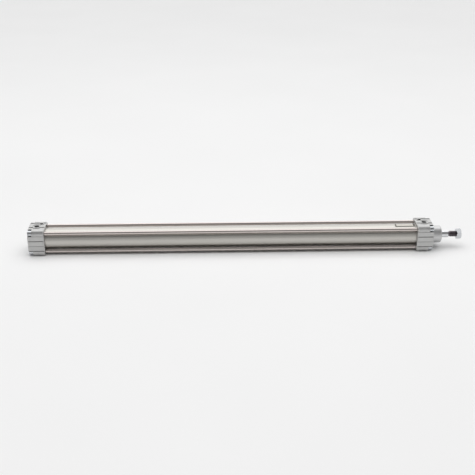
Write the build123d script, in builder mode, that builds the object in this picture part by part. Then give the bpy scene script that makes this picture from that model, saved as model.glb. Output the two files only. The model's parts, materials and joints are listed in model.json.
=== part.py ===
from build123d import *
import os

# Double-acting tie-rod pneumatic cylinder, fully retracted. Millimetres.
# The origin is on the axis at the front cap's mounting face, +X runs along the rod, +Z is up.

os.makedirs("parts", exist_ok=True)

# Working sizes
stroke = 600.0
bore_dia = 32.0
rod_dia = 12.0
barrel_wall = 2.0
barrel_lead_in = 0.5
end_gap = 0.5

# End caps: square die castings with a spigot that enters the barrel
cap_length = 28.0
cap_corner_radius = 7.0
cap_edge_chamfer = 1.0
groove_offset = 9.1
groove_width = 10.2
groove_depth = 0.8
spigot_length = 5.0
spigot_clearance = 0.05
collar_dia = 30.0
collar_length = 17.0
collar_rounding = 3.0
rear_boss_dia = 30.0
rear_boss_height = 2.0
rear_boss_chamfer = 0.5
rear_wall = 7.0

# Tie rods and the sleeve nuts that hold them in the caps' cut-back corners
tie_rod_dia = 6.0
tie_rod_gap = 1.981
tie_rod_inset = 7.25
tie_rod_clearance = 0.1
tie_thread_dia = 5.0
tie_thread_clearance = 0.02
tie_engagement = 5.0
nut_head_flats = 10.0
nut_head_length = 7.5
nut_head_chamfer = 0.6
nut_sleeve_dia = 8.0
nut_sleeve_length = 14.5
nut_sleeve_clearance = 0.1
nut_relief_dia = 6.4
nut_relief_length = 1.0
pocket_clearance = 0.8

# Ports and cushion needles on top of the caps
port_inset = 13.5
port_thread_dia = 8.56
port_thread_depth = 9.0
port_drill_dia = 6.0
port_boss_dia = 16.0
port_spotface_dia = 14.0
port_spotface_depth = 0.5
port_mouth_chamfer = 0.5
needle_inset = 20.0
needle_offset = 9.5
needle_boss_dia = 9.0
needle_mouth_dia = 6.4
needle_mouth_depth = 1.5
needle_bore_dia = 4.4
needle_clearance = 0.06
needle_seat_dia = 2.4
needle_seat_step = 1.2
needle_head_depth = 3.3
needle_thread_length = 4.0
needle_collar_length = 0.6
needle_stem_dia = 2.8
needle_tip_dia = 0.8
needle_slot_width = 0.8
needle_slot_depth = 1.0
needle_ring_section = 0.82
needle_ring_room = 1.1
gallery_dia = 1.5
upper_gallery_step = 1.5
clip_inset = 2.4
clip_thickness = 0.5
clip_depth = 0.4
clip_width = 0.8
clip_gap = 1.2

# Seals and bearing in the caps
gasket_section = 1.6
gasket_groove_width = 2.2
gasket_inset = 1.4
cushion_seal_width = 4.0
cushion_seal_wall = 1.9
cushion_seal_inset = 1.5
seal_side_clearance = 0.1
bearing_length = 15.0
bearing_wall = 1.5
bearing_step = 1.0
rod_running_clearance = 0.05
wiper_depth = 8.0
wiper_wall = 4.0
wiper_shoulder = 2.5
wiper_recess = 0.6
wiper_lip = 1.2
shoulder_clearance = 0.4

# Piston: two halves on the rod's rear spigot, with the magnet and guide ring between them
piston_half_length = 8.0
piston_middle_length = 8.0
piston_clearance = 0.4
piston_seal_width = 4.5
piston_seal_depth = 3.3
piston_seal_inset = 2.0
piston_hub_dia = 20.0
ring_running_clearance = 0.05
ring_side_clearance = 0.12
guide_ring_wall = 2.2
guide_ring_slot = 1.0
magnet_gap = 0.2
bumper_thickness = 1.5
bumper_width = 4.0
sleeve_dia = 18.0
sleeve_length = 17.5
sleeve_lead_in = 1.2
sleeve_running_clearance = 0.08
chamber_clearance = 0.3
press_clearance = 0.02
spigot_thread_dia = 8.0
piston_nut_flats = 13.0
piston_nut_length = 4.5
spigot_end = 1.0

# Rod end and its lock nut
rod_shoulder_reach = 30.0
rod_thread_dia = 10.0
rod_thread_length = 22.0
rod_thread_chamfer = 1.0
rod_relief_dia = 8.2
rod_relief_length = 2.0
rod_flats = 10.0
rod_flats_length = 7.0
rod_nut_flats = 17.0
rod_nut_length = 8.0
nut_chamfer_depth = 1.0
thread_clearance = 0.03

# Stations along the axis
piston_length = 2 * piston_half_length + piston_middle_length
barrel_length = stroke + piston_length + 2 * (bumper_thickness + end_gap + spigot_length)
front_inner_x = -cap_length
rear_inner_x = front_inner_x - barrel_length
rear_face_x = rear_inner_x - cap_length
piston_rear_x = rear_inner_x + spigot_length + end_gap + bumper_thickness
piston_front_x = piston_rear_x + piston_length
wiper_x = collar_length - wiper_depth
bearing_front_x = wiper_x - wiper_shoulder
bearing_rear_x = bearing_front_x - bearing_length
front_chamber_end_x = bearing_rear_x - bearing_step
rear_chamber_end_x = rear_face_x + rear_wall
rod_rear_x = piston_rear_x - sleeve_length - piston_nut_length - spigot_end
rod_end_x = rod_shoulder_reach + rod_thread_length
nut_hole_depth = nut_head_length + nut_sleeve_length + nut_sleeve_clearance

# Radii that several pieces share
bore_radius = bore_dia / 2
barrel_radius = bore_radius + barrel_wall
rod_radius = rod_dia / 2
spigot_radius = bore_radius - spigot_clearance
gasket_floor_radius = bore_radius - gasket_section - spigot_clearance
chamber_radius = sleeve_dia / 2 + chamber_clearance
bearing_radius = rod_radius + rod_running_clearance + bearing_wall
wiper_radius = rod_radius + wiper_wall
nut_head_radius = nut_head_flats / 3 ** 0.5
tie_rod_circle_radius = barrel_radius + tie_rod_gap + tie_rod_dia / 2
ring_outer_radius = bore_radius - ring_running_clearance
piston_radius = bore_radius - piston_clearance
piston_groove_radius = piston_radius - piston_seal_depth
cushion_groove_radius = chamber_radius + cushion_seal_wall

# The bolt square of the tie rods sets the width of the caps, and their top sets the heights
tie_rod_pitch = tie_rod_circle_radius * 2 ** 0.5
cap_width = tie_rod_pitch + 2 * tie_rod_inset
top_z = cap_width / 2
clip_z = top_z - clip_inset
needle_head_z = top_z - needle_head_depth
gallery_radius = (cushion_groove_radius + gasket_floor_radius) / 2
lower_gallery_z = (gallery_radius ** 2 - needle_offset ** 2) ** 0.5
needle_seat_z = lower_gallery_z + needle_seat_step
upper_gallery_z = needle_seat_z + upper_gallery_step


def save(piece, name):
    """Names a finished piece and writes it to its own file."""
    piece.part.label = name
    export_step(piece.part, f"parts/{name}.step")


def turned(outline):
    """A turned piece: a closed half section of (x, radius) points, revolved about the axis."""
    with BuildPart() as piece:
        with BuildSketch(Plane.XZ):
            with BuildLine():
                Polyline(*outline, close=True)
            make_face()
        revolve(axis=Axis.X)
    return piece


def tube(start_x, length, inner_radius, outer_radius):
    """A plain ring or tube on the axis, from start_x forwards."""
    with BuildPart() as piece:
        with BuildSketch(Plane.YZ.offset(start_x)):
            Circle(outer_radius)
            Circle(inner_radius, mode=Mode.SUBTRACT)
        extrude(amount=length)
    return piece


def o_ring(plane, axis, centre, section):
    """A ring whose section is squeezed flat where its groove and its bore press on it.

    centre is the middle of the section in the plane, which holds the axis.
    """
    with BuildPart() as piece:
        with BuildSketch(plane):
            with Locations(centre):
                RegularPolygon(section / 2, 8, major_radius=False, rotation=22.5)
        revolve(axis=axis)
    return piece


def cap_casting(face_x, inward, chamber_depth):
    """The square casting that both caps share, bored, drilled and cut back at its corners.

    face_x is its mounting face and inward (+1 or -1) is the way to the barrel.
    """
    inner_x = face_x + inward * cap_length
    spigot_x = inner_x + inward * spigot_length
    port_x = face_x + inward * port_inset
    needle_x = face_x + inward * needle_inset
    with BuildPart() as cap:
        # Block with softened ends, and two cast grooves along each side
        with BuildSketch(Plane.YZ.offset(face_x)):
            RectangleRounded(cap_width, cap_width, cap_corner_radius)
        extrude(amount=inward * cap_length)
        ends = cap.faces().filter_by(Axis.X)
        chamfer(ends.edges(), cap_edge_chamfer)
        with BuildSketch(Plane.YZ.offset(face_x)):
            with PolarLocations(cap_width / 2, 4):
                with Locations((0, groove_offset), (0, -groove_offset)):
                    Trapezoid(groove_width + 2 * groove_depth, 2 * groove_depth, 45, rotation=90)
        extrude(amount=inward * cap_length, mode=Mode.SUBTRACT)

        # Round bosses that carry the port and the needle across the top grooves
        with BuildSketch(Plane.XY.offset(top_z)):
            with Locations((port_x, 0)):
                Circle(port_boss_dia / 2)
            with Locations((needle_x, needle_offset)):
                Circle(needle_boss_dia / 2)
        extrude(amount=-2 * groove_depth)

        # Spigot with its gasket groove
        with BuildSketch(Plane.YZ.offset(inner_x)):
            Circle(spigot_radius)
        extrude(amount=inward * spigot_length)
        with BuildSketch(Plane.YZ.offset(inner_x + inward * gasket_inset)):
            Circle(bore_radius)
            Circle(gasket_floor_radius, mode=Mode.SUBTRACT)
        extrude(amount=inward * gasket_groove_width, mode=Mode.SUBTRACT)

        # Corner pockets for the nuts' heads, then the nut and tie-rod holes
        with BuildSketch(Plane.YZ.offset(face_x)):
            with PolarLocations(tie_rod_circle_radius, 4, 45):
                Circle(nut_head_radius + pocket_clearance)
                with Locations((cap_width / 4, 0)):
                    Rectangle(cap_width / 2, 2 * (nut_head_radius + pocket_clearance))
        extrude(amount=inward * nut_head_length, mode=Mode.SUBTRACT)
        with BuildSketch(Plane.YZ.offset(face_x)):
            with PolarLocations(tie_rod_circle_radius, 4, 45):
                Circle(nut_sleeve_dia / 2 + nut_sleeve_clearance)
        extrude(amount=inward * nut_hole_depth, mode=Mode.SUBTRACT)
        with BuildSketch(Plane.YZ.offset(face_x)):
            with PolarLocations(tie_rod_circle_radius, 4, 45):
                Circle(tie_rod_dia / 2 + tie_rod_clearance)
        extrude(amount=inward * cap_length, mode=Mode.SUBTRACT)

        # Cushion chamber and the groove of the seal near its mouth
        with BuildSketch(Plane.YZ.offset(spigot_x)):
            Circle(chamber_radius)
        extrude(amount=-inward * chamber_depth, mode=Mode.SUBTRACT)
        with BuildSketch(Plane.YZ.offset(spigot_x - inward * cushion_seal_inset)):
            Circle(cushion_groove_radius)
        extrude(amount=-inward * cushion_seal_width, mode=Mode.SUBTRACT)

        # Port: spot face, thread bore, and the drilling down to the chamber
        with BuildSketch(Plane.XY.offset(top_z)):
            with Locations((port_x, 0)):
                Circle(port_spotface_dia / 2)
        extrude(amount=-port_spotface_depth, mode=Mode.SUBTRACT)
        with BuildSketch(Plane.XY.offset(top_z)):
            with Locations((port_x, 0)):
                Circle(port_thread_dia / 2)
        extrude(amount=-port_thread_depth, mode=Mode.SUBTRACT)
        port_edges = cap.edges().filter_by(GeomType.CIRCLE)
        port_mouth = port_edges.filter_by(lambda edge: abs(edge.radius - port_thread_dia / 2) < 0.001)
        chamfer(port_mouth.sort_by(Axis.Z)[-1], port_mouth_chamfer)
        with BuildSketch(Plane.XY.offset(top_z)):
            with Locations((port_x, 0)):
                Circle(port_drill_dia / 2)
        extrude(amount=chamber_radius / 2 - top_z, mode=Mode.SUBTRACT)

        # Needle bore with its sunk mouth and clip groove, its seat hole, and the galleries past the seal
        with BuildSketch(Plane.XY.offset(top_z)):
            with Locations((needle_x, needle_offset)):
                Circle(needle_mouth_dia / 2)
        extrude(amount=-needle_mouth_depth, mode=Mode.SUBTRACT)
        with BuildSketch(Plane.XY.offset(top_z)):
            with Locations((needle_x, needle_offset)):
                Circle(needle_bore_dia / 2)
        extrude(amount=needle_seat_z - top_z, mode=Mode.SUBTRACT)
        with BuildSketch(Plane.XY.offset(clip_z)):
            with Locations((needle_x, needle_offset)):
                Circle(needle_bore_dia / 2 + clip_depth)
        extrude(amount=clip_thickness, mode=Mode.SUBTRACT)
        with BuildSketch(Plane.XY.offset(needle_seat_z)):
            with Locations((needle_x, needle_offset)):
                Circle(needle_seat_dia / 2)
        extrude(amount=lower_gallery_z - gallery_dia / 2 - needle_seat_z, mode=Mode.SUBTRACT)
        with BuildSketch(Plane.YZ.offset(needle_x)):
            with Locations((needle_offset, lower_gallery_z)):
                Circle(gallery_dia / 2)
        extrude(amount=spigot_x - needle_x, mode=Mode.SUBTRACT)
        radial = Plane(origin=(needle_x, 0, 0), z_dir=(0, needle_offset, upper_gallery_z))
        with BuildSketch(radial):
            Circle(gallery_dia / 2)
        reach = (needle_offset ** 2 + upper_gallery_z ** 2) ** 0.5
        extrude(amount=reach, mode=Mode.SUBTRACT)
    return cap


# Front cap: the shared casting plus the collar, bored for the rod bearing and the wiper
front_casting = cap_casting(0, -1, front_chamber_end_x - front_inner_x + spigot_length)
with BuildPart() as front_cap:
    add(front_casting.part)
    with BuildSketch(Plane.YZ):
        Circle(collar_dia / 2)
    extrude(amount=collar_length)
    collar_edge = front_cap.faces().sort_by(Axis.X)[-1].edges()
    fillet(collar_edge, collar_rounding)
    with BuildSketch(Plane.YZ.offset(wiper_x)):
        Circle(wiper_radius)
    extrude(amount=wiper_depth, mode=Mode.SUBTRACT)
    with BuildSketch(Plane.YZ.offset(bearing_front_x)):
        Circle(rod_radius + shoulder_clearance)
    extrude(amount=wiper_shoulder, mode=Mode.SUBTRACT)
    with BuildSketch(Plane.YZ.offset(front_chamber_end_x)):
        Circle(bearing_radius)
    extrude(amount=bearing_front_x - front_chamber_end_x, mode=Mode.SUBTRACT)
save(front_cap, "front_cap")

# Rear cap: the shared casting with a low round centring boss on its mounting face
rear_casting = cap_casting(rear_face_x, 1, rear_inner_x + spigot_length - rear_chamber_end_x)
with BuildPart() as rear_cap:
    add(rear_casting.part)
    with BuildSketch(Plane.YZ.offset(rear_face_x)):
        Circle(rear_boss_dia / 2)
    extrude(amount=-rear_boss_height)
    boss_edge = rear_cap.faces().sort_by(Axis.X)[0].edges()
    chamfer(boss_edge, rear_boss_chamfer)
save(rear_cap, "rear_cap")

# Barrel: drawn tube, its mouths eased so the gaskets slide in
with BuildPart() as barrel:
    with BuildSketch(Plane.YZ.offset(rear_inner_x)):
        Circle(barrel_radius)
        Circle(bore_radius, mode=Mode.SUBTRACT)
    extrude(amount=barrel_length)
    rims = barrel.edges().filter_by(GeomType.CIRCLE)
    mouths = rims.filter_by(lambda edge: abs(edge.radius - bore_radius) < 0.001)
    chamfer(mouths, barrel_lead_in)
save(barrel, "barrel")

# Tie rods: straight rods whose turned-down threaded ends sit inside the sleeve nuts
tie_thread_radius = tie_thread_dia / 2 - tie_thread_clearance
tie_end_x = -(nut_head_length + nut_sleeve_length - tie_engagement)
tie_shoulder_x = -nut_hole_depth
half_pitch = tie_rod_pitch / 2
tie_rod_corners = [(y * half_pitch, z * half_pitch) for y, z in ((1, 1), (-1, 1), (-1, -1), (1, -1))]
for number, corner in enumerate(tie_rod_corners, start=1):
    with BuildPart() as tie_rod:
        with BuildSketch(Plane.YZ.offset(tie_end_x)):
            with Locations(corner):
                Circle(tie_thread_radius)
        extrude(amount=rear_face_x - 2 * tie_end_x)
        with BuildSketch(Plane.YZ.offset(tie_shoulder_x)):
            with Locations(corner):
                Circle(tie_rod_dia / 2)
        extrude(amount=rear_face_x - 2 * tie_shoulder_x)
    save(tie_rod, f"tie_rod_{number}")


def tie_rod_nuts(face_x, inward):
    """Four sleeve nuts: a hexagon head in the pocket, a sleeve in the cap, one thread through both.

    A relief parts the bolt's stretch of the thread from the tie rod's.
    """
    total_length = nut_head_length + nut_sleeve_length
    with BuildPart() as nuts:
        with BuildSketch(Plane.YZ.offset(face_x)):
            with PolarLocations(tie_rod_circle_radius, 4, 45):
                RegularPolygon(nut_head_radius, 6)
        extrude(amount=inward * nut_head_length)
        outer_faces = nuts.faces().filter_by(Axis.X).sort_by(Axis.X, reverse=inward < 0)[:4]
        chamfer(outer_faces.edges(), nut_head_chamfer)
        with BuildSketch(Plane.YZ.offset(face_x)):
            with PolarLocations(tie_rod_circle_radius, 4, 45):
                Circle(nut_sleeve_dia / 2)
        extrude(amount=inward * total_length)
        with BuildSketch(Plane.YZ.offset(face_x)):
            with PolarLocations(tie_rod_circle_radius, 4, 45):
                Circle(tie_thread_dia / 2)
        extrude(amount=inward * total_length, mode=Mode.SUBTRACT)
        relief_x = face_x + inward * (total_length - tie_engagement - nut_relief_length)
        with BuildSketch(Plane.YZ.offset(relief_x)):
            with PolarLocations(tie_rod_circle_radius, 4, 45):
                Circle(nut_relief_dia / 2)
        extrude(amount=inward * nut_relief_length, mode=Mode.SUBTRACT)
    return nuts


front_tie_rod_nuts = tie_rod_nuts(0, -1)
save(front_tie_rod_nuts, "front_tie_rod_nuts")
rear_tie_rod_nuts = tie_rod_nuts(rear_face_x, 1)
save(rear_tie_rod_nuts, "rear_tie_rod_nuts")

# Barrel gaskets: O-rings squeezed between the spigot grooves and the bore
gasket_centre_radius = gasket_floor_radius + gasket_section / 2
front_gasket_x = front_inner_x - gasket_inset - gasket_groove_width / 2
rear_gasket_x = rear_inner_x + gasket_inset + gasket_groove_width / 2
front_barrel_gasket = o_ring(Plane.XZ, Axis.X, (front_gasket_x, gasket_centre_radius), gasket_section)
save(front_barrel_gasket, "front_barrel_gasket")
rear_barrel_gasket = o_ring(Plane.XZ, Axis.X, (rear_gasket_x, gasket_centre_radius), gasket_section)
save(rear_barrel_gasket, "rear_barrel_gasket")

# Cushion seals: square rings that close round the cushion sleeves at the end of the stroke
cushion_inner_radius = sleeve_dia / 2 + sleeve_running_clearance
cushion_outer_radius = cushion_groove_radius - seal_side_clearance
cushion_ring_length = cushion_seal_width - 2 * seal_side_clearance
front_cushion_x = front_inner_x - spigot_length + cushion_seal_inset + seal_side_clearance
rear_cushion_front_x = rear_inner_x + spigot_length - cushion_seal_inset - seal_side_clearance
rear_cushion_x = rear_cushion_front_x - cushion_ring_length
front_cushion_seal = tube(front_cushion_x, cushion_ring_length, cushion_inner_radius, cushion_outer_radius)
save(front_cushion_seal, "front_cushion_seal")
rear_cushion_seal = tube(rear_cushion_x, cushion_ring_length, cushion_inner_radius, cushion_outer_radius)
save(rear_cushion_seal, "rear_cushion_seal")

# Rod bearing: sintered bronze bush pressed in behind the wiper's shoulder
rod_bearing = tube(bearing_rear_x, bearing_length, rod_radius + rod_running_clearance, bearing_radius)
save(rod_bearing, "rod_bearing")

# Rod wiper: a moulded ring with a pressure lip inside and a scraping lip outside
wiper_inner = rod_radius + rod_running_clearance
wiper_front_x = collar_length - wiper_recess
wiper_outer = wiper_radius - seal_side_clearance
wiper_middle = (wiper_inner + wiper_outer) / 2
rod_wiper = turned([
    (wiper_x, wiper_inner),
    (wiper_x + 2 * wiper_lip, wiper_middle),
    (wiper_x, wiper_outer),
    (wiper_front_x - wiper_lip, wiper_outer),
    (wiper_front_x - wiper_lip, wiper_middle),
    (wiper_front_x, wiper_inner + wiper_lip / 2),
    (wiper_front_x, wiper_inner),
    (wiper_front_x - 3 * wiper_lip, wiper_inner + wiper_lip / 2),
])
save(rod_wiper, "rod_wiper")


# Cushion needles, with the O-ring in each one's groove and the clip that keeps it in its bore
needle_radius = needle_bore_dia / 2 - needle_clearance
needle_ring_top = needle_head_z - needle_thread_length
needle_ring_bottom = needle_ring_top - needle_ring_room
needle_neck_radius = needle_radius - needle_ring_section
needle_ring_centre = (needle_radius - needle_ring_section / 2, (needle_ring_top + needle_ring_bottom) / 2)
for end_name, needle_x in (("front", -needle_inset), ("rear", rear_face_x + needle_inset)):
    needle_axis = Axis((needle_x, needle_offset, 0), (0, 0, 1))
    needle_plane = Plane(origin=(needle_x, needle_offset, 0), x_dir=(1, 0, 0), z_dir=(0, -1, 0))
    with BuildPart() as cushion_needle:
        with BuildSketch(needle_plane):
            with BuildLine():
                Polyline(
                    (0, needle_head_z),
                    (needle_radius, needle_head_z),
                    (needle_radius, needle_ring_top),
                    (needle_neck_radius, needle_ring_top),
                    (needle_neck_radius, needle_ring_bottom),
                    (needle_radius, needle_ring_bottom),
                    (needle_radius, needle_ring_bottom - needle_collar_length),
                    (needle_stem_dia / 2, needle_ring_bottom - needle_collar_length),
                    (needle_stem_dia / 2, needle_seat_z + needle_seat_dia / 3),
                    (needle_tip_dia / 2, needle_seat_z - needle_seat_dia / 2),
                    (0, needle_seat_z - needle_seat_dia / 2),
                    close=True,
                )
            make_face()
        revolve(axis=needle_axis)
        with BuildSketch(Plane.XY.offset(needle_head_z)):
            with Locations((needle_x, needle_offset)):
                Rectangle(needle_bore_dia, needle_slot_width)
        extrude(amount=-needle_slot_depth, mode=Mode.SUBTRACT)
    save(cushion_needle, f"{end_name}_cushion_needle")

    needle_o_ring = o_ring(needle_plane, needle_axis, needle_ring_centre, needle_ring_section)
    save(needle_o_ring, f"{end_name}_needle_o_ring")

    with BuildPart() as needle_clip:
        with BuildSketch(Plane.XY.offset(clip_z)):
            with Locations((needle_x, needle_offset)):
                Circle(needle_bore_dia / 2 + clip_depth)
                Circle(needle_bore_dia / 2 + clip_depth - clip_width, mode=Mode.SUBTRACT)
                with Locations((needle_bore_dia / 2, 0)):
                    Rectangle(needle_bore_dia, clip_gap, mode=Mode.SUBTRACT)
        extrude(amount=clip_thickness)
    save(needle_clip, f"{end_name}_needle_clip")

# Piston rod: rear spigot, chromed shank, relief neck, threaded end and two spanner flats
with BuildPart() as piston_rod:
    with BuildSketch(Plane.YZ.offset(rod_rear_x)):
        Circle(spigot_thread_dia / 2)
    extrude(amount=piston_front_x - rod_rear_x)
    with BuildSketch(Plane.YZ.offset(piston_front_x)):
        Circle(rod_radius)
    extrude(amount=rod_shoulder_reach - piston_front_x)
    with BuildSketch(Plane.YZ.offset(rod_shoulder_reach)):
        Circle(rod_relief_dia / 2)
    extrude(amount=rod_relief_length)
    with BuildSketch(Plane.YZ.offset(rod_shoulder_reach + rod_relief_length)):
        Circle(rod_thread_dia / 2)
    extrude(amount=rod_thread_length - rod_relief_length)
    rod_tip = piston_rod.faces().sort_by(Axis.X)[-1].edges()
    chamfer(rod_tip, rod_thread_chamfer)
    with BuildSketch(Plane.YZ.offset(rod_shoulder_reach)):
        with Locations((0, rod_dia / 2 + rod_flats / 2), (0, -rod_dia / 2 - rod_flats / 2)):
            Rectangle(rod_dia, rod_dia)
    extrude(amount=-rod_flats_length, mode=Mode.SUBTRACT)
save(piston_rod, "piston_rod")

# Piston halves: each grooved for its seal; the rear one carries the hub for the magnet
piston_bore_radius = spigot_thread_dia / 2 + press_clearance
rear_half_front_x = piston_rear_x + piston_half_length
front_half_rear_x = rear_half_front_x + piston_middle_length
rear_groove_x = piston_rear_x + piston_seal_inset
front_groove_x = piston_front_x - piston_seal_inset - piston_seal_width
with BuildPart() as rear_piston_half:
    with BuildSketch(Plane.YZ.offset(piston_rear_x)):
        Circle(piston_radius)
    extrude(amount=piston_half_length)
    with BuildSketch(Plane.YZ.offset(rear_half_front_x)):
        Circle(piston_hub_dia / 2)
    extrude(amount=piston_middle_length)
    with BuildSketch(Plane.YZ.offset(piston_rear_x)):
        Circle(piston_bore_radius)
    extrude(amount=piston_length, mode=Mode.SUBTRACT)
    with BuildSketch(Plane.YZ.offset(rear_groove_x)):
        Circle(bore_radius)
        Circle(piston_groove_radius, mode=Mode.SUBTRACT)
    extrude(amount=piston_seal_width, mode=Mode.SUBTRACT)
save(rear_piston_half, "rear_piston_half")
with BuildPart() as front_piston_half:
    with BuildSketch(Plane.YZ.offset(front_half_rear_x)):
        Circle(piston_radius)
        Circle(piston_bore_radius, mode=Mode.SUBTRACT)
    extrude(amount=piston_half_length)
    with BuildSketch(Plane.YZ.offset(front_groove_x)):
        Circle(bore_radius)
        Circle(piston_groove_radius, mode=Mode.SUBTRACT)
    extrude(amount=piston_seal_width, mode=Mode.SUBTRACT)
save(front_piston_half, "front_piston_half")

# Magnet ring on the hub, clamped between the halves, and the split guide ring round it
guide_inner_radius = ring_outer_radius - guide_ring_wall
magnet_ring = tube(
    rear_half_front_x,
    piston_middle_length,
    piston_hub_dia / 2 + press_clearance,
    guide_inner_radius - magnet_gap,
)
save(magnet_ring, "magnet_ring")
with BuildPart() as guide_ring:
    with BuildSketch(Plane.YZ.offset(rear_half_front_x + ring_side_clearance)):
        Circle(ring_outer_radius)
        Circle(guide_inner_radius, mode=Mode.SUBTRACT)
        with Locations((0, -bore_radius)):
            Rectangle(guide_ring_slot, 2 * guide_ring_wall, mode=Mode.SUBTRACT)
    extrude(amount=piston_middle_length - 2 * ring_side_clearance)
save(guide_ring, "guide_ring")


def piston_seal(groove_x, pressure_side):
    """A lip seal in a piston groove; pressure_side (+1 or -1) is the way its lips open."""
    length = piston_seal_width - 2 * ring_side_clearance
    back_x = groove_x + ring_side_clearance + (length if pressure_side < 0 else 0)
    lip_x = back_x + pressure_side * length
    inner = piston_groove_radius + ring_side_clearance
    outer = ring_outer_radius
    lip = (outer - inner) / 3
    return turned([
        (back_x, inner),
        (back_x, outer - lip / 2),
        (lip_x, outer),
        (lip_x, outer - lip),
        (back_x + pressure_side * length / 2, (inner + outer) / 2),
        (lip_x, inner + lip),
        (lip_x, inner),
    ])


rear_piston_seal = piston_seal(rear_groove_x, -1)
save(rear_piston_seal, "rear_piston_seal")
front_piston_seal = piston_seal(front_groove_x, 1)
save(front_piston_seal, "front_piston_seal")

# Bumpers: rubber washers on both faces of the piston, round the cushion sleeves
bumper_inner_radius = sleeve_dia / 2 + press_clearance
bumper_outer_radius = bumper_inner_radius + bumper_width
rear_bumper_x = piston_rear_x - bumper_thickness
rear_bumper = tube(rear_bumper_x, bumper_thickness, bumper_inner_radius, bumper_outer_radius)
save(rear_bumper, "rear_bumper")
front_bumper = tube(piston_front_x, bumper_thickness, bumper_inner_radius, bumper_outer_radius)
save(front_bumper, "front_bumper")

# Cushion sleeves: the rear one on the spigot, the front one on the shank, each with a lead-in
rear_sleeve_x = piston_rear_x - sleeve_length
front_sleeve_end_x = piston_front_x + sleeve_length
rear_cushion_sleeve = turned([
    (rear_sleeve_x, piston_bore_radius),
    (rear_sleeve_x, sleeve_dia / 2 - sleeve_lead_in / 2),
    (rear_sleeve_x + sleeve_lead_in, sleeve_dia / 2),
    (piston_rear_x, sleeve_dia / 2),
    (piston_rear_x, piston_bore_radius),
])
save(rear_cushion_sleeve, "rear_cushion_sleeve")
front_cushion_sleeve = turned([
    (piston_front_x, rod_radius + press_clearance),
    (piston_front_x, sleeve_dia / 2),
    (front_sleeve_end_x - sleeve_lead_in, sleeve_dia / 2),
    (front_sleeve_end_x, sleeve_dia / 2 - sleeve_lead_in / 2),
    (front_sleeve_end_x, rod_radius + press_clearance),
])
save(front_cushion_sleeve, "front_cushion_sleeve")


def hexagon_nut(start_x, length, across_flats, hole_radius):
    """A plain nut with both rims turned to a 30 degree chamfer, lying with two flats upright."""
    corner_radius = across_flats / 3 ** 0.5
    rim_radius = across_flats / 2 - nut_chamfer_depth / 4
    rim_depth = (corner_radius - rim_radius) / 3 ** 0.5
    end_x = start_x + length
    with BuildPart() as nut:
        with BuildSketch(Plane.YZ.offset(start_x)):
            RegularPolygon(corner_radius, 6, rotation=30)
        extrude(amount=length)
        with BuildSketch(Plane.XZ):
            with BuildLine():
                Polyline(
                    (start_x, 0),
                    (start_x, rim_radius),
                    (start_x + rim_depth, corner_radius),
                    (end_x - rim_depth, corner_radius),
                    (end_x, rim_radius),
                    (end_x, 0),
                    close=True,
                )
            make_face()
        revolve(axis=Axis.X, mode=Mode.INTERSECT)
        with BuildSketch(Plane.YZ.offset(start_x)):
            Circle(hole_radius)
        extrude(amount=length, mode=Mode.SUBTRACT)
    return nut


# Piston nut behind the rear cushion sleeve, and the lock nut flush with the rod's end
piston_nut = hexagon_nut(
    rear_sleeve_x - piston_nut_length, piston_nut_length, piston_nut_flats, piston_bore_radius
)
save(piston_nut, "piston_nut")
rod_end_nut = hexagon_nut(
    rod_end_x - rod_nut_length, rod_nut_length, rod_nut_flats, rod_thread_dia / 2 + thread_clearance
)
save(rod_end_nut, "rod_end_nut")
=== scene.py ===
import json
import math

import bpy
import numpy as np
from mathutils import Matrix, Vector


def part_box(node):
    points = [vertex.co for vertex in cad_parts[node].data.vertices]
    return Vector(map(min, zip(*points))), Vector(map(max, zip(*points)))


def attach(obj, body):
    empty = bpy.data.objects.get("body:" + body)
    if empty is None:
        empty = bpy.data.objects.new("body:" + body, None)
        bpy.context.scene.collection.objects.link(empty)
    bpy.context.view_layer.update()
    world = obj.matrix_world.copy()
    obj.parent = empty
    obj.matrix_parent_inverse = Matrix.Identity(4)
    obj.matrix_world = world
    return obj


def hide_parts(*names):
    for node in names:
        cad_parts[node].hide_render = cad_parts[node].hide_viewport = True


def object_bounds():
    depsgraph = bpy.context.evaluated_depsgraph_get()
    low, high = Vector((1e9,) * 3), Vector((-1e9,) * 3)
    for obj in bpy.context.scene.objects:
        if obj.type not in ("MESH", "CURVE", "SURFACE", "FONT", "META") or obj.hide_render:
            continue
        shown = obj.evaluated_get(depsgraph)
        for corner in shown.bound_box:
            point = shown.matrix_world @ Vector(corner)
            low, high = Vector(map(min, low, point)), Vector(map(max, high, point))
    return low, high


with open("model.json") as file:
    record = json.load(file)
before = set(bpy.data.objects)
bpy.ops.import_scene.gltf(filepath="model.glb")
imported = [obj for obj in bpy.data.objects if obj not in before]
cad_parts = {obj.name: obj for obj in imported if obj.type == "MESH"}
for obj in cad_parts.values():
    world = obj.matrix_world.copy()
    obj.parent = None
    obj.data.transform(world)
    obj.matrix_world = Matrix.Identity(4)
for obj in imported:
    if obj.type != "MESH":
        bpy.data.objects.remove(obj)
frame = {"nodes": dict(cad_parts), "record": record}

# The cylinder's box as it comes from the solids.
solids_box = [list(corner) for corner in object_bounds()]


# Studio floor: a pale matt sheet that the caps lie on, with room for soft shadows. It is
# rolled out flat, so every side of the cylinder can be seen over it.
def linear(code):
    """Turns an sRGB hex colour such as "#8899AA" into linear red, green, blue and alpha."""
    srgb = np.array([int(code[i:i + 2], 16) / 255 for i in (1, 3, 5)])
    flat = np.where(srgb <= 0.04045, srgb / 12.92, ((srgb + 0.055) / 1.055) ** 2.4)
    return (*flat.tolist(), 1.0)


def add_node(tree, kind, settings, links):
    """Adds one node: settings are attributes or input values by name, links are sockets by input."""
    node = tree.nodes.new(kind)
    for key, value in settings.items():
        if isinstance(key, str) and hasattr(node, key):
            setattr(node, key, value)
        else:
            node.inputs[key].default_value = value
    for key, socket in links.items():
        tree.links.new(socket, node.inputs[key])
    return node


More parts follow.
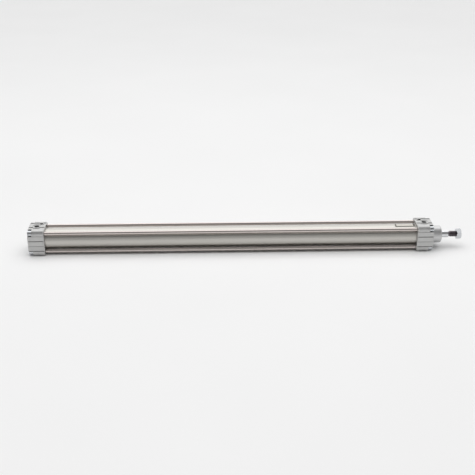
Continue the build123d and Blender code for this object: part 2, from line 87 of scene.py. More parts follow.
def new_material(name, colour, metallic, roughness):
    """A material with one principled shader, and the tree and shader to hang its detail on."""
    material = bpy.data.materials.new(name)
    material.use_nodes = True
    tree = material.node_tree
    shader = tree.nodes["Principled BSDF"]
    shader.inputs["Base Color"].default_value = linear(colour)
    shader.inputs["Metallic"].default_value = metallic
    shader.inputs["Roughness"].default_value = roughness
    return material, tree, shader


def mesh_piece(name, points, faces, materials):
    """A smooth-shaded mesh object at the origin from points (n, 3) in metres and a list of faces."""
    mesh = bpy.data.meshes.new(name)
    mesh.from_pydata(points.tolist(), [], faces)
    mesh.polygons.foreach_set("use_smooth", np.ones(len(mesh.polygons), bool))
    for material in materials:
        mesh.materials.append(material)
    piece = bpy.data.objects.new(name, mesh)
    bpy.context.scene.collection.objects.link(piece)
    return piece


MM = 0.001
floor_half_width = 9.0
paper_mottle = 1000 / 3 * MM
paper_gloss = 0.1
floor_z = solids_box[0][2]
middle_x = (solids_box[0][0] + solids_box[1][0]) / 2

# Matt paper. It has no gloss, and a very faint mottle, a third of a metre across, that keeps it
# from looking like a screen.
floor_paper, tree, shader = new_material("studio_paper_matt", "#F1F1F1", 0.0, 0.95)
place = add_node(tree, "ShaderNodeTexCoord", {}, {})
mottle = add_node(tree, "ShaderNodeTexNoise", {"Scale": 1 / paper_mottle, "Detail": 2.0},
                  {"Vector": place.outputs["Object"]})
tone = add_node(tree, "ShaderNodeMix", {"data_type": "RGBA", 6: linear("#EFEFEF"), 7: linear("#F3F3F3")},
                {0: mottle.outputs[0]})
tree.links.new(tone.outputs[2], shader.inputs["Base Color"])
shader.inputs["Specular IOR Level"].default_value = paper_gloss

corner_signs = np.array([(-1, -1), (1, -1), (1, 1), (-1, 1)])
floor_points = np.column_stack([corner_signs * floor_half_width, np.full(4, floor_z)])
floor_points[:, 0] += middle_x
floor = mesh_piece("studio_floor", floor_points, [(0, 1, 2, 3)], [floor_paper])


# Studio light: a white tent with one soft lamp in its roof. The photographer's side is grey at the
# bench and darkens upwards to the roof's edge, which gives round metal its dark bands.
back_white = 1.3
roof_white = 0.5
bench_grey = 0.53
front_dark = 0.08
front_rise = (0.25, 0.75)
roof_edge = (0.80, 0.92)
side_edge = (0.05, 0.4)
light_low = 0.03
light_high = 1.7
light_rise = (0.4, 0.95)
seen_white = 0.79
softbox_length = 1.8
softbox_width = 1.2
softbox_watts = 5.0
softbox_setback = 0.45
softbox_height = 1.7

world = bpy.data.worlds.new("studio_tent")
bpy.context.scene.world = world
world.use_nodes = True
tree = world.node_tree
backdrop = tree.nodes["Background"]
backdrop.inputs["Color"].default_value = (1.0, 1.0, 1.0, 1.0)
way = add_node(tree, "ShaderNodeTexCoord", {}, {})
heading = add_node(tree, "ShaderNodeSeparateXYZ", {}, {0: way.outputs["Generated"]})

# Each part of the tent eases from one brightness to another along Y or Z.
shades = {}
for part, direction, edge, before, after in (
        ("wall", "Z", front_rise, bench_grey, front_dark),
        ("roof", "Z", roof_edge, 0.0, roof_white),
        ("back", "Y", side_edge, 0.0, 1.0),
        ("matt", "Z", light_rise, light_low, light_high),
):
    shade = add_node(tree, "ShaderNodeMapRange",
                     {"interpolation_type": "SMOOTHSTEP", "From Min": edge[0], "From Max": edge[1],
                      "To Min": before, "To Max": after},
                     {"Value": heading.outputs[direction]})
    shades[part] = shade.outputs["Result"]
front = add_node(tree, "ShaderNodeMath", {"operation": "MAXIMUM"},
                 {0: shades["wall"], 1: shades["roof"]})
mirrored = add_node(tree, "ShaderNodeMix", {"data_type": "FLOAT", 3: back_white},
                    {0: shades["back"], 2: front.outputs[0]})

# Metal mirrors the tent, matt surfaces are lit mostly from its roof, and the camera sees an even,
# nearly white backdrop.
ray = add_node(tree, "ShaderNodeLightPath", {}, {})
lighting = add_node(tree, "ShaderNodeMix", {"data_type": "FLOAT"},
                    {0: ray.outputs["Is Glossy Ray"], 2: shades["matt"], 3: mirrored.outputs[0]})
seen = add_node(tree, "ShaderNodeMix", {"data_type": "FLOAT", 3: seen_white},
                {0: ray.outputs["Is Camera Ray"], 2: lighting.outputs[0]})
tree.links.new(seen.outputs[0], backdrop.inputs["Strength"])

lamp_data = bpy.data.lights.new("roof_softbox", "AREA")
lamp_data.shape = "RECTANGLE"
lamp_data.size = softbox_length
lamp_data.size_y = softbox_width
lamp_data.energy = softbox_watts
lamp = bpy.data.objects.new("roof_softbox", lamp_data)
lamp.location = (middle_x, softbox_setback, softbox_height)
lamp.rotation_euler = (Vector((middle_x, 0, 0)) - lamp.location).to_track_quat("-Z", "Y").to_euler()
bpy.context.scene.collection.objects.link(lamp)


# Camera: stands about 1.5 m off, 25 degrees up from the bench and a little left of square, as the
# photograph was taken. Its place and lens were fitted to the edges of both caps, and it aims
# at the middle of the body, halfway between the two mounting faces.
body_middle_x = -347.0 * MM
aim = Vector((body_middle_x, 0.0, 0.0))
distance = 1492.58 * MM
tilt = 0.4303
swing = 0.0232
roll = 0.0021
focal_pixels = 861.08
frame_pixels = 475.0
optical_column = 231.35
optical_row = 236.22

forward = Vector((math.sin(swing) * math.cos(tilt), math.cos(swing) * math.cos(tilt), -math.sin(tilt)))
level = Vector((math.cos(swing), -math.sin(swing), 0.0))
upward = level.cross(forward)
right = level * math.cos(roll) - upward * math.sin(roll)
above = level * math.sin(roll) + upward * math.cos(roll)
lens = bpy.data.cameras.new("photo_view")
lens.sensor_width = 36.0
lens.lens = lens.sensor_width * focal_pixels / frame_pixels
lens.shift_x = (frame_pixels / 2 - optical_column) / frame_pixels
lens.shift_y = -(frame_pixels / 2 - optical_row) / frame_pixels
camera = bpy.data.objects.new("photo_view", lens)
turn = Matrix((right, above, -forward)).transposed().to_4x4()
camera.matrix_world = Matrix.Translation(aim - forward * distance) @ turn
bpy.context.scene.collection.objects.link(camera)
bpy.context.scene.camera = camera
bpy.context.scene.view_settings.view_transform = "Standard"


# End caps: die-cast aluminium, tumbled smooth and left bare. The castings are the solids
# themselves, with their grooves, nut pockets, ports and needle bores.
def dress(node, material):
    """Gives a solid from the frame its finish."""
    slots = frame["nodes"][node].material_slots
    if not slots:
        frame["nodes"][node].data.materials.append(material)
    for each in slots:
        each.material = material


# Tumbled die-cast aluminium: pale satin grey, a soft skin of shallow dimples about 0.6 mm
# across from the tumbling stones, and faint cloudy patches where it has dulled. The groove walls
# and the bores are painted dark grey: painted shade, for the shade that falls in these hollows.
# Collar and boss are turned afterwards: smoother, with fine rings drawn 0.4 mm apart, which is
# coarser than the real ones.
# The noise that all these patterns are made of stays mostly between 0.3 and 0.7.
dimple = 0.6 * MM
cast_cloud = 14.0 * MM
turning_ring = 0.4 * MM
turning_patch = 100 / 3 * MM
cap_half_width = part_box("front_cap")[1].z
cap_corner = 7.0 * MM
noise_low = 0.3
noise_high = 0.7
port_reach = 333.5
groove_offset = 9.1

# Where a mask begins and where it is whole, in millimetres: depths under the skin, distances from
# a groove's middle and from a port's axis, and distances along from the middle of the body.
below_skin = (0.04, 0.12)
above_groove_floor = (0.95, 0.85)
below_groove_floor = (0.9, 1.2)
beside_groove_floor = (3.6, 4.3)
outside_spot_face = (7.0, 7.2)
past_inner_face = (320.0, 320.3)
short_of_pocket = (339.4, 339.2)
short_of_outer_face = (346.0, 345.7)
past_outer_face = (347.05, 347.15)

cast_skin, tree, shader = new_material("die_cast_aluminium_tumbled", "#C9C9C8", 1.0, 0.46)
place = add_node(tree, "ShaderNodeTexCoord", {}, {})
clouds = add_node(tree, "ShaderNodeTexNoise", {"Scale": 1 / cast_cloud, "Detail": 4.0, "Roughness": 0.6},
                  {"Vector": place.outputs["Object"]})
tone = add_node(tree, "ShaderNodeMix", {"data_type": "RGBA", 6: linear("#B0B0AF"), 7: linear("#C7C7C6")},
                {0: clouds.outputs[0]})
gloss = add_node(tree, "ShaderNodeMapRange",
                 {"From Min": noise_low, "From Max": noise_high, "To Min": 0.38, "To Max": 0.54},
                 {"Value": clouds.outputs[0]})
dimples = add_node(tree, "ShaderNodeTexNoise", {"Scale": 1 / dimple, "Detail": 2.0},
                   {"Vector": place.outputs["Object"]})


def mask_where(*limits):
    """A mask that is 1 where every length is past its limit: the product of one ease for each."""
    eases = []
    for length, (start, whole) in limits:
        ease = add_node(tree, "ShaderNodeMapRange", {"From Min": start * MM, "From Max": whole * MM},
                        {"Value": length})
        eases.append(ease.outputs["Result"])
    mask = eases[0]
    for ease in eases[1:]:
        mask = add_node(tree, "ShaderNodeMath", {"operation": "MULTIPLY"}, {0: mask, 1: ease}).outputs[0]
    return mask


# Depth below the block's rounded skin: the corner radius less the distance from the square core.
# Taking a metre off X leaves the length of the block out of that distance.
core = cap_half_width - cap_corner
folded = add_node(tree, "ShaderNodeVectorMath", {"operation": "ABSOLUTE"}, {0: place.outputs["Object"]})
outside = add_node(tree, "ShaderNodeVectorMath", {"operation": "SUBTRACT", 1: (1.0, core, core)},
                   {0: folded.outputs["Vector"]})
outside = add_node(tree, "ShaderNodeVectorMath", {"operation": "MAXIMUM", 1: (0.0, 0.0, 0.0)},
                   {0: outside.outputs["Vector"]})
outside = add_node(tree, "ShaderNodeVectorMath", {"operation": "LENGTH"}, {0: outside.outputs["Vector"]})
depth = add_node(tree, "ShaderNodeMath", {"operation": "SUBTRACT", 0: cap_corner},
                 {1: outside.outputs["Value"]}).outputs[0]

# Distance across a side from the middle of its nearer groove.
parted = add_node(tree, "ShaderNodeSeparateXYZ", {}, {0: folded.outputs["Vector"]})
across = add_node(tree, "ShaderNodeMath", {"operation": "MINIMUM"},
                  {0: parted.outputs["Y"], 1: parted.outputs["Z"]})
across = add_node(tree, "ShaderNodeMath", {"operation": "SUBTRACT", 1: groove_offset * MM},
                  {0: across.outputs[0]})
across = add_node(tree, "ShaderNodeMath", {"operation": "ABSOLUTE"}, {0: across.outputs[0]}).outputs[0]

# Distance along from the middle of the body, the same for both caps, and from a port's axis.
parted = add_node(tree, "ShaderNodeSeparateXYZ", {}, {0: place.outputs["Object"]})
reach = add_node(tree, "ShaderNodeMath", {"operation": "SUBTRACT", 1: body_middle_x},
                 {0: parted.outputs["X"]})
reach = add_node(tree, "ShaderNodeMath", {"operation": "ABSOLUTE"}, {0: reach.outputs[0]}).outputs[0]
port_side = add_node(tree, "ShaderNodeMath", {"operation": "SUBTRACT", 1: port_reach * MM}, {0: reach})
from_port = add_node(tree, "ShaderNodeCombineXYZ", {},
                     {"X": port_side.outputs[0], "Y": parted.outputs["Y"]})
from_port = add_node(tree, "ShaderNodeVectorMath", {"operation": "LENGTH"},
                     {0: from_port.outputs["Vector"]}).outputs["Value"]

# Painted shade: masks for the groove walls and the bores, which are mixed to dark grey below.
groove_wall_painted_shade = mask_where((depth, below_skin), (depth, above_groove_floor), (across, beside_groove_floor),
                         (from_port, outside_spot_face), (reach, past_inner_face),
                         (reach, short_of_outer_face))
bore = mask_where((depth, below_groove_floor), (reach, past_inner_face), (reach, short_of_pocket))
hollows_painted_shade = add_node(tree, "ShaderNodeMath", {"operation": "MAXIMUM"}, {0: groove_wall_painted_shade, 1: bore})
turned = mask_where((reach, past_outer_face))

along = add_node(tree, "ShaderNodeMapping",
                 {"Scale": (1 / turning_ring, 1 / turning_patch, 1 / turning_patch)},
                 {"Vector": place.outputs["Object"]})
rings = add_node(tree, "ShaderNodeTexNoise", {"Scale": 1.0, "Detail": 2.0},
                 {"Vector": along.outputs["Vector"]})
skin = add_node(tree, "ShaderNodeMix", {"data_type": "RGBA", 7: linear("#C4C4C4")},
                {0: turned, 6: tone.outputs[2]})
# Painted shade: the hollows are mixed to dark grey (#7A7A79), standing in for the shade in them.
skin = add_node(tree, "ShaderNodeMix", {"data_type": "RGBA", 7: linear("#7A7A79")},
                {0: hollows_painted_shade.outputs[0], 6: skin.outputs[2]})
tree.links.new(skin.outputs[2], shader.inputs["Base Color"])
satin = add_node(tree, "ShaderNodeMapRange",
                 {"From Min": noise_low, "From Max": noise_high, "To Min": 0.36, "To Max": 0.46},
                 {"Value": rings.outputs[0]})
finish = add_node(tree, "ShaderNodeMix", {"data_type": "FLOAT"},
                  {0: turned, 2: gloss.outputs["Result"], 3: satin.outputs["Result"]})
tree.links.new(finish.outputs[0], shader.inputs["Roughness"])
relief = add_node(tree, "ShaderNodeMix", {"data_type": "FLOAT"},
                  {0: turned, 2: dimples.outputs[0], 3: rings.outputs[0]})
bump = add_node(tree, "ShaderNodeBump", {"Strength": 0.35, "Distance": 0.05 * MM},
                {"Height": relief.outputs[0]})
tree.links.new(bump.outputs["Normal"], shader.inputs["Normal"])
for node in ("front_cap", "rear_cap"):
    dress(node, cast_skin)


# Barrel: a drawn aluminium tube, clear anodised, clamped between the caps by the tie rods. It is a
# satin, slightly warm grey with fine draw lines along it. Real lines are some 0.05 mm apart, so
# they are drawn 0.5 mm apart, which is as fine as shows.
draw_line = 0.5 * MM
draw_length = 160.0 * MM
drawn_tube, tree, shader = new_material("aluminium_tube_clear_anodised", "#C4C3BD", 1.0, 0.3)
place = add_node(tree, "ShaderNodeTexCoord", {}, {})
along = add_node(tree, "ShaderNodeMapping", {"Scale": (1 / draw_length, 1 / draw_line, 1 / draw_line)},
                 {"Vector": place.outputs["Object"]})
lines = add_node(tree, "ShaderNodeTexNoise", {"Scale": 1.0, "Detail": 3.0, "Roughness": 0.6},
                 {"Vector": along.outputs["Vector"]})
tone = add_node(tree, "ShaderNodeMix", {"data_type": "RGBA", 6: linear("#B2B0AA"), 7: linear("#C8C5C0")},
                {0: lines.outputs[0]})
tree.links.new(tone.outputs[2], shader.inputs["Base Color"])
gloss = add_node(tree, "ShaderNodeMapRange",
                 {"From Min": noise_low, "From Max": noise_high, "To Min": 0.25, "To Max": 0.36},
                 {"Value": lines.outputs[0]})
tree.links.new(gloss.outputs["Result"], shader.inputs["Roughness"])
bump = add_node(tree, "ShaderNodeBump", {"Strength": 0.15, "Distance": 0.02 * MM},
                {"Height": lines.outputs[0]})
tree.links.new(bump.outputs["Normal"], shader.inputs["Normal"])
dress("barrel", drawn_tube)


# Tie rods: four bars that pull the caps onto the barrel, of centreless-ground stainless steel:
# bright, slightly warm, with fine rings round the bar. The real rings are finer than 0.1 mm, so
# they are drawn 0.8 mm apart.
grind_ring = 0.8 * MM
grind_patch = 30.0 * MM
ground_steel, tree, shader = new_material("stainless_steel_ground", "#C9C4BF", 1.0, 0.2)
place = add_node(tree, "ShaderNodeTexCoord", {}, {})
along = add_node(tree, "ShaderNodeMapping", {"Scale": (1 / grind_ring, 1 / grind_patch, 1 / grind_patch)},
                 {"Vector": place.outputs["Object"]})
rings = add_node(tree, "ShaderNodeTexNoise", {"Scale": 1.0, "Detail": 2.0},
                 {"Vector": along.outputs["Vector"]})
tone = add_node(tree, "ShaderNodeMix", {"data_type": "RGBA", 6: linear("#C1B8B4"), 7: linear("#D4CCC8")},
                {0: rings.outputs[0]})
tree.links.new(tone.outputs[2], shader.inputs["Base Color"])
gloss = add_node(tree, "ShaderNodeMapRange",
                 {"From Min": noise_low, "From Max": noise_high, "To Min": 0.06, "To Max": 0.12},
                 {"Value": rings.outputs[0]})
tree.links.new(gloss.outputs["Result"], shader.inputs["Roughness"])
for number in (1, 2, 3, 4):
    dress(f"tie_rod_{number}", ground_steel)


# Tie-rod nuts: zinc-plated steel sleeve nuts, one in each corner pocket of a cap. The head is
# round with a hexagon socket for the key, the sleeve reaches into the cap, and an M6 thread
# behind the socket takes a mounting screw.
def rings_round(stations, radii, angles, centre, axis):
    """Rings of points: each station is a place along the axis, and its row of radii goes round it."""
    ahead = np.broadcast_to(stations[:, None], radii.shape)
    side = radii * np.cos(angles)
    rise = radii * np.sin(angles)
    order = (ahead, side, rise) if axis == "x" else (side, rise, ahead)
    return np.stack(order, axis=-1) + np.asarray(centre)


def ring_faces(count, around):
    """Quads between count rings of around points each; each ring closes on itself."""
    ids = np.arange(count * around).reshape(count, around)
    beside = np.roll(ids, -1, axis=1)
    quads = np.stack([ids[:-1], beside[:-1], beside[1:], ids[1:]], axis=-1)
    return quads.reshape(-1, 4)


def looped_skin(rings):
    """Points and quads of a hollow turned piece, whose last ring is its first ring again."""
    closed = np.concatenate([rings, rings[:1]])
    faces = ring_faces(len(closed), rings.shape[1]) % (rings.shape[0] * rings.shape[1])
    return rings.reshape(-1, 3), faces


def joined(skins):
    """Several (points, faces) skins as one."""
    starts = np.cumsum([0] + [len(points) for points, _ in skins[:-1]])
    faces = np.concatenate([faces + start for (_, faces), start in zip(skins, starts)])
    return np.concatenate([points for points, _ in skins]), faces


def thread_ridge(turns):
    """An ISO thread's height, 0 at its root and 1 at its crest, for a count of turns along it.

    A triangle wave clipped to a root flat of a quarter pitch and a crest flat of an eighth.
    """
    root_flat = 0.25
    crest_flat = 0.125
    wave = 1 - np.abs(2 * (turns % 1) - 1)
    return np.clip((wave - root_flat) / (1 - root_flat - crest_flat), 0, 1)


def hexagon_radius(angles, flats):
    """Distance from the centre to the side of a hexagon that has a corner at angle 0.

    Half the width across flats over the cosine of the angle from the middle of a side.
    """
    sector = angles % (math.pi / 3) - math.pi / 6
    return flats / 2 / np.cos(sector)


# Sizes of a nut in millimetres, with lengths and depths from the cap's face inwards.
head_radius = 5.77
socket_flats = 6.2
socket_depth = 4.0
head_length = 7.5
head_chamfer = 0.6
sleeve_radius = 4.0
nut_length = 22.0
bolt_depth = 16.0
bolt_minor_radius = 2.5
bolt_thread_depth = 0.54
bolt_pitch = 1.0
relief_radius = 3.2
relief_length = 1.0
mouth_chamfer = 0.5
samples_per_turn = 10
nut_points_round = 72
sharp_edge = math.radians(28)
nut_angles = np.linspace(0, 2 * math.pi, nut_points_round, endpoint=False)


def sleeve_nut(face_x, inward, centre):
    """One nut: a loop from its sleeve's end out over the head, and back in along its thread."""
    outward_angle = math.atan2(centre[1], centre[0])
    socket = hexagon_radius(nut_angles - outward_angle, socket_flats)
    mouth_radius = socket_flats / 2 + 2 * mouth_chamfer
    plain = np.ones_like(nut_angles)
    reach = np.arange(socket_depth + mouth_chamfer, bolt_depth, bolt_pitch / samples_per_turn)
    turns = inward * reach[:, None] / bolt_pitch - nut_angles / (2 * math.pi)
    bolt_root_radius = bolt_minor_radius + bolt_thread_depth
    thread = bolt_root_radius - bolt_thread_depth * thread_ridge(turns)
    profile = [
        (nut_length, bolt_minor_radius * plain),
        (nut_length, sleeve_radius * plain),
        (head_length, sleeve_radius * plain),
        (head_length, head_radius * plain),
        (head_chamfer, head_radius * plain),
        (0.0, (head_radius - head_chamfer) * plain),
        (0.0, mouth_radius * plain),
        (mouth_chamfer, np.minimum(socket, mouth_radius)),
        (socket_depth, socket),
        *zip(reach, thread),
        (bolt_depth, relief_radius * plain),
        (bolt_depth + relief_length, relief_radius * plain),
        (bolt_depth + relief_length, bolt_minor_radius * plain),
    ]
    stations = face_x + inward * MM * np.array([depth for depth, _ in profile])
    radii = MM * np.array([radius for _, radius in profile])
    rings = rings_round(stations, radii, nut_angles, (0, *centre), "x")
    return looped_skin(rings[::-1] if inward > 0 else rings)


# Bright zinc plate: a cool pale grey with a faint cloudy haze, smooth but not mirror-bright.
haze = 5.0 * MM
bright_zinc, tree, shader = new_material("steel_bright_zinc_plated", "#C9CCCF", 1.0, 0.18)
place = add_node(tree, "ShaderNodeTexCoord", {}, {})
clouds = add_node(tree, "ShaderNodeTexNoise", {"Scale": 1 / haze, "Detail": 4.0},
                  {"Vector": place.outputs["Object"]})
tone = add_node(tree, "ShaderNodeMix", {"data_type": "RGBA", 6: linear("#BEC1C6"), 7: linear("#D2D4D5")},
                {0: clouds.outputs[0]})
tree.links.new(tone.outputs[2], shader.inputs["Base Color"])
gloss = add_node(tree, "ShaderNodeMapRange",
                 {"From Min": noise_low, "From Max": noise_high, "To Min": 0.12, "To Max": 0.24},
                 {"Value": clouds.outputs[0]})
tree.links.new(gloss.outputs["Result"], shader.inputs["Roughness"])

rod_middles = [(sum(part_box(f"tie_rod_{number}"), Vector()) / 2).yz for number in (1, 2, 3, 4)]
for end, face_x, inward in (("front", 0.0, -1), ("rear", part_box("rear_tie_rod_nuts")[0].x, 1)):
    points, faces = joined([sleeve_nut(face_x, inward, middle) for middle in rod_middles])
    nuts = mesh_piece(f"{end}_sleeve_nuts", points, faces.tolist(), [bright_zinc])
    nuts.data.set_sharp_from_angle(angle=sharp_edge)
    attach(nuts, "housing")
    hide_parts(f"{end}_tie_rod_nuts")
dress("rod_end_nut", bright_zinc)
dress("piston_nut", bright_zinc)


# Port threads: a G1/8 pipe thread is cut in each cap's port. The casting's bore is plain, so a
# thin threaded lining stands for the thread, its back sunk a little into the casting. Its sizes
# are in millimetres, and the gap is counted from the cap's top downwards.
port_wall_radius = 4.28
port_crest = 0.30
port_sink = 0.05
port_skin = 0.01
port_pitch = 0.907
port_top_gap = 1.1
port_thread_length = 7.6
port_points_round = 64
port_angles = np.linspace(0, 2 * math.pi, port_points_round, endpoint=False)
cap_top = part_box("front_cap")[1].z


def port_lining(port_x):
    """A ring-shaped lining: outer wall upwards, then the ridged inner wall down again."""
    drop = np.arange(0, port_thread_length, port_pitch / samples_per_turn)
    heights = cap_top - MM * (port_top_gap + drop)
    turns = -drop[:, None] / port_pitch - port_angles / (2 * math.pi)
    fade = np.clip(np.minimum(drop, port_thread_length - drop) / port_pitch, 0, 1)[:, None]
    inner = port_wall_radius - port_crest * fade * thread_ridge(turns) - port_skin
    outer = np.full((2, len(port_angles)), port_wall_radius + port_sink)
    stations = np.concatenate([heights[[-1, 0]], heights])
    radii = MM * np.concatenate([outer, inner])
    return looped_skin(rings_round(stations, radii, port_angles, (port_x, 0, 0), "z"))


for mount in frame["record"]["mounts"]:
    if mount["kind"] == "threaded_hole":
        points, faces = port_lining(mount["pos_m"][0])
        # The lining takes the casting's finish, and with it the painted shade of the bores.
        lining = mesh_piece(f"{mount['name']}_thread", points, faces.tolist(), [cast_skin])
        lining.data.set_sharp_from_angle(angle=sharp_edge)
        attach(lining, "housing")


# Piston rod: one bar, ground, hard chromed and polished to its shoulder, with two spanner flats.
# Past the shoulder it is bare steel, with a relief neck and a rolled M10 fine thread. Its sizes are
# in millimetres, and its places along X are counted from the front mounting face.
rod_radius = 6.0
rod_flat_reach = 5.0
flats_length = 7.0
flats_edge = 0.3
shoulder_x = 30.0
neck_radius = 4.1
neck_length = 2.0
thread_radius = 5.0
thread_depth = 0.77
thread_pitch = 1.25
tip_chamfer = 1.0
tail_radius = 4.0
tail_chamfer = 0.5
least_sine = 1e-6
rod_points_round = 96
rod_angles = np.linspace(0, 2 * math.pi, rod_points_round, endpoint=False)
rod_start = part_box("piston_rod")[0].x / MM
rod_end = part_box("piston_rod")[1].x / MM
piston_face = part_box("front_bumper")[0].x / MM

plain = np.ones_like(rod_angles)
flatted = np.minimum(rod_radius, rod_flat_reach / np.maximum(np.abs(np.sin(rod_angles)), least_sine))
thread_start = shoulder_x + neck_length
thread_stations = np.arange(thread_start, rod_end, thread_pitch / samples_per_turn)
turns = thread_stations[:, None] / thread_pitch - rod_angles / (2 * math.pi)
run_out = np.clip((thread_stations - thread_start) / thread_pitch, 0, 1)[:, None]
bevel = thread_radius - np.clip(thread_stations - (rod_end - tip_chamfer), 0, tip_chamfer)[:, None]
thread_body = neck_radius + (thread_radius - neck_radius) * run_out
threaded = np.minimum(thread_body - thread_depth * (1 - thread_ridge(turns)) * run_out, bevel)
rod_profile = [
    (rod_start, (tail_radius - tail_chamfer) * plain),
    (rod_start + tail_chamfer, tail_radius * plain),
    (piston_face, tail_radius * plain),
    (piston_face, rod_radius * plain),
    (shoulder_x - flats_length - flats_edge, rod_radius * plain),
    (shoulder_x - flats_length, flatted),
    (shoulder_x - flats_edge, flatted),
    (shoulder_x, flatted - flats_edge),
    (shoulder_x, neck_radius * plain),
    (thread_start, neck_radius * plain),
    *zip(thread_stations[1:], threaded[1:]),
    (rod_end, (thread_radius - tip_chamfer) * plain),
]
stations = MM * np.array([station for station, _ in rod_profile])
radii = MM * np.array([radius for _, radius in rod_profile])
rings = rings_round(stations, radii, rod_angles, (0, 0, 0), "x")
count, around = radii.shape
sides = ring_faces(count, around)
first = np.arange(around)
last = (count - 1) * around + first
ends = [(count * around, int(b), int(a)) for a, b in zip(first, np.roll(first, -1))]
ends += [(count * around + 1, int(a), int(b)) for a, b in zip(last, np.roll(last, -1))]
poles = np.array([(rod_start * MM, 0, 0), (rod_end * MM, 0, 0)])
rod_points = np.concatenate([rings.reshape(-1, 3), poles])

# Hard chrome: nearly a mirror, cool and bright, with fine grinding rings, drawn 0.7 mm apart
# because the real ones are too fine to show.
chrome_ring = 0.7 * MM
chrome_patch = 50.0 * MM
hard_chrome, tree, shader = new_material("steel_hard_chromed_polished", "#D9DADC", 1.0, 0.1)
place = add_node(tree, "ShaderNodeTexCoord", {}, {})
along = add_node(tree, "ShaderNodeMapping",
                 {"Scale": (1 / chrome_ring, 1 / chrome_patch, 1 / chrome_patch)},
                 {"Vector": place.outputs["Object"]})
rings_seen = add_node(tree, "ShaderNodeTexNoise", {"Scale": 1.0, "Detail": 2.0},
                      {"Vector": along.outputs["Vector"]})
gloss = add_node(tree, "ShaderNodeMapRange",
                 {"From Min": noise_low, "From Max": noise_high, "To Min": 0.06, "To Max": 0.14},
                 {"Value": rings_seen.outputs[0]})
tree.links.new(gloss.outputs["Result"], shader.inputs["Roughness"])

# Rolled and oiled steel: darker than the chrome, faintly purple where the oil lies in the thread.
oil_patch = 3.0 * MM
oiled_steel, tree, shader = new_material("steel_rolled_thread_oiled", "#6E686C", 1.0, 0.32)
place = add_node(tree, "ShaderNodeTexCoord", {}, {})
patches = add_node(tree, "ShaderNodeTexNoise", {"Scale": 1 / oil_patch, "Detail": 4.0},
                   {"Vector": place.outputs["Object"]})
tone = add_node(tree, "ShaderNodeMix", {"data_type": "RGBA", 6: linear("#5A5359"), 7: linear("#857F82")},
                {0: patches.outputs[0]})
tree.links.new(tone.outputs[2], shader.inputs["Base Color"])
gloss = add_node(tree, "ShaderNodeMapRange",
                 {"From Min": noise_low, "From Max": noise_high, "To Min": 0.22, "To Max": 0.42},
                 {"Value": patches.outputs[0]})
tree.links.new(gloss.outputs["Result"], shader.inputs["Roughness"])

rod = mesh_piece("threaded_piston_rod", rod_points, sides.tolist() + ends, [hard_chrome, oiled_steel])
bare = np.zeros(len(rod.data.polygons), np.int32)
bare[:len(sides)] = np.repeat(stations[:-1] >= (shoulder_x - flats_edge / 2) * MM, around)
bare[-around:] = 1
rod.data.polygons.foreach_set("material_index", bare)
rod.data.set_sharp_from_angle(angle=sharp_edge)
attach(rod, "rod")
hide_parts("piston_rod")


# Label: a thin plain foil sticker, bent over the top of the barrel beside the front cap, with a
# printed frame line just inside its edge. Its sizes are in millimetres.
label_start_x = -64.5
label_length = 35.3
label_width = 13.6
label_thickness = 0.08
frame_inset = 0.9
frame_line = 2.1
label_places_along = 4
label_places_around = 16
barrel_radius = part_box("barrel")[1].z


def label_cuts(size, places):
    """Places across the label: both edges, both sides of the frame line, and even steps between."""
    edge = np.array([0.0, frame_inset, frame_inset + frame_line])
    return np.concatenate([edge, np.linspace(edge[-1], size - edge[-1], places)[1:-1], size - edge[::-1]])


lengths = MM * (label_start_x + label_cuts(label_length, label_places_along))
label_width_cuts = label_cuts(label_width, label_places_around)
arcs = math.pi / 2 + MM * (label_width_cuts - label_width / 2) / barrel_radius
label_radius = barrel_radius + MM * label_thickness
spread = np.stack(np.meshgrid(lengths, arcs, indexing="ij"), axis=-1)
label_points = np.stack([
    spread[..., 0], label_radius * np.cos(spread[..., 1]), label_radius * np.sin(spread[..., 1]),
], axis=-1)
ids = np.arange(spread[..., 0].size).reshape(len(lengths), len(arcs))
label_quads = np.stack([ids[:-1, :-1], ids[:-1, 1:], ids[1:, 1:], ids[1:, :-1]], axis=-1)

# Satin foil, a little warmer and duller than the tube, and a dark brown-grey printing ink.
foil_grain = 0.8 * MM
label_foil, tree, shader = new_material("polyester_foil_satin", "#C6C2BA", 0.9, 0.36)
place = add_node(tree, "ShaderNodeTexCoord", {}, {})
grain = add_node(tree, "ShaderNodeTexNoise", {"Scale": 1 / foil_grain, "Detail": 3.0},
                 {"Vector": place.outputs["Object"]})
tone = add_node(tree, "ShaderNodeMix", {"data_type": "RGBA", 6: linear("#BFBBB3"), 7: linear("#CCC8C1")},
                {0: grain.outputs[0]})
tree.links.new(tone.outputs[2], shader.inputs["Base Color"])
frame_ink, tree, shader = new_material("printing_ink_dark_grey", "#3F3A34", 0.0, 0.55)
place = add_node(tree, "ShaderNodeTexCoord", {}, {})
fade = add_node(tree, "ShaderNodeTexNoise", {"Scale": 1 / foil_grain, "Detail": 2.0},
                {"Vector": place.outputs["Object"]})
tone = add_node(tree, "ShaderNodeMix", {"data_type": "RGBA", 6: linear("#36322D"), 7: linear("#4A453D")},
                {0: fade.outputs[0]})
tree.links.new(tone.outputs[2], shader.inputs["Base Color"])

label = mesh_piece("blank_label", label_points.reshape(-1, 3), label_quads.reshape(-1, 4).tolist(),
                   [label_foil, frame_ink])
rows, columns = label_quads.shape[:2]
depth_in = np.minimum(np.minimum(*np.ogrid[:rows, :columns]),
                      np.minimum(*np.ogrid[rows - 1:-1:-1, columns - 1:-1:-1]))
label.data.polygons.foreach_set("material_index", (depth_in == 1).astype(np.int32).ravel())
backing = label.modifiers.new("backing", "SOLIDIFY")
backing.thickness = 2 * label_thickness * MM
backing.offset = -1.0
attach(label, "housing")


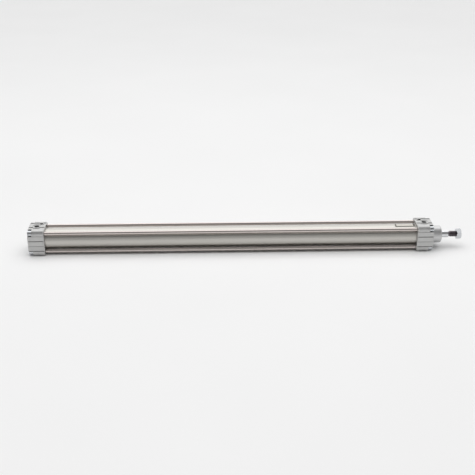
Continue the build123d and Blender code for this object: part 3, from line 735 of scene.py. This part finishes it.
# Cushion needles: turned brass screws with a slot, each sunk in its bore beside a port. The brass
# is dulled by handling: warm yellow with fine turning rings.
brass_ring = 0.25 * MM
brass_patch = 5.0 * MM
turned_brass, tree, shader = new_material("brass_turned", "#B79A5B", 1.0, 0.3)
place = add_node(tree, "ShaderNodeTexCoord", {}, {})
along = add_node(tree, "ShaderNodeMapping", {"Scale": (1 / brass_patch, 1 / brass_patch, 1 / brass_ring)},
                 {"Vector": place.outputs["Object"]})
tooling = add_node(tree, "ShaderNodeTexNoise", {"Scale": 1.0, "Detail": 3.0},
                   {"Vector": along.outputs["Vector"]})
tone = add_node(tree, "ShaderNodeMix", {"data_type": "RGBA", 6: linear("#A98C50"), 7: linear("#C6AB6C")},
                {0: tooling.outputs[0]})
tree.links.new(tone.outputs[2], shader.inputs["Base Color"])
for node in ("front_cushion_needle", "rear_cushion_needle"):
    dress(node, turned_brass)


# Inside pieces: seals, bearing and piston. They stay out of sight, and have their real finishes
# for anyone who takes the cylinder apart.
def speckled(name, dark, light, metallic, roughness, speck):
    """A finish whose colour wanders between two tones in specks of a size in metres."""
    material, tree, shader = new_material(name, light, metallic, roughness)
    place = add_node(tree, "ShaderNodeTexCoord", {}, {})
    specks = add_node(tree, "ShaderNodeTexNoise", {"Scale": 1 / speck, "Detail": 4.0},
                      {"Vector": place.outputs["Object"]})
    tone = add_node(tree, "ShaderNodeMix", {"data_type": "RGBA", 6: linear(dark), 7: linear(light)},
                    {0: specks.outputs[0]})
    tree.links.new(tone.outputs[2], shader.inputs["Base Color"])
    bump = add_node(tree, "ShaderNodeBump", {"Strength": 0.3, "Distance": 0.03 * MM},
                    {"Height": specks.outputs[0]})
    tree.links.new(bump.outputs["Normal"], shader.inputs["Normal"])
    return material


inside_finishes = [
    (speckled("nitrile_rubber_moulded", "#161616", "#242424", 0.0, 0.6, 0.4 * MM),
     ("front_barrel_gasket", "rear_barrel_gasket", "front_needle_o_ring", "rear_needle_o_ring",
      "rod_wiper", "front_bumper", "rear_bumper")),
    (speckled("polyurethane_moulded_blue", "#2A3850", "#384A66", 0.0, 0.42, 0.5 * MM),
     ("front_cushion_seal", "rear_cushion_seal", "front_piston_seal", "rear_piston_seal")),
    (speckled("bronze_sintered_oiled", "#6E5433", "#A98653", 1.0, 0.5, 0.15 * MM),
     ("rod_bearing",)),
    (speckled("aluminium_turned", "#BFBFC0", "#D4D4D5", 1.0, 0.3, 0.3 * MM),
     ("front_piston_half", "rear_piston_half", "front_cushion_sleeve", "rear_cushion_sleeve")),
    (speckled("acetal_filled_moulded", "#857B69", "#9A8F7B", 0.0, 0.5, 0.6 * MM),
     ("guide_ring",)),
    (speckled("ferrite_sintered", "#2A2A2D", "#3A3A3D", 0.3, 0.7, 0.2 * MM),
     ("magnet_ring",)),
    (speckled("spring_steel_blackened", "#2B2B2D", "#46464A", 1.0, 0.45, 0.3 * MM),
     ("front_needle_clip", "rear_needle_clip")),
]
for finish, nodes in inside_finishes:
    for node in nodes:
        dress(node, finish)
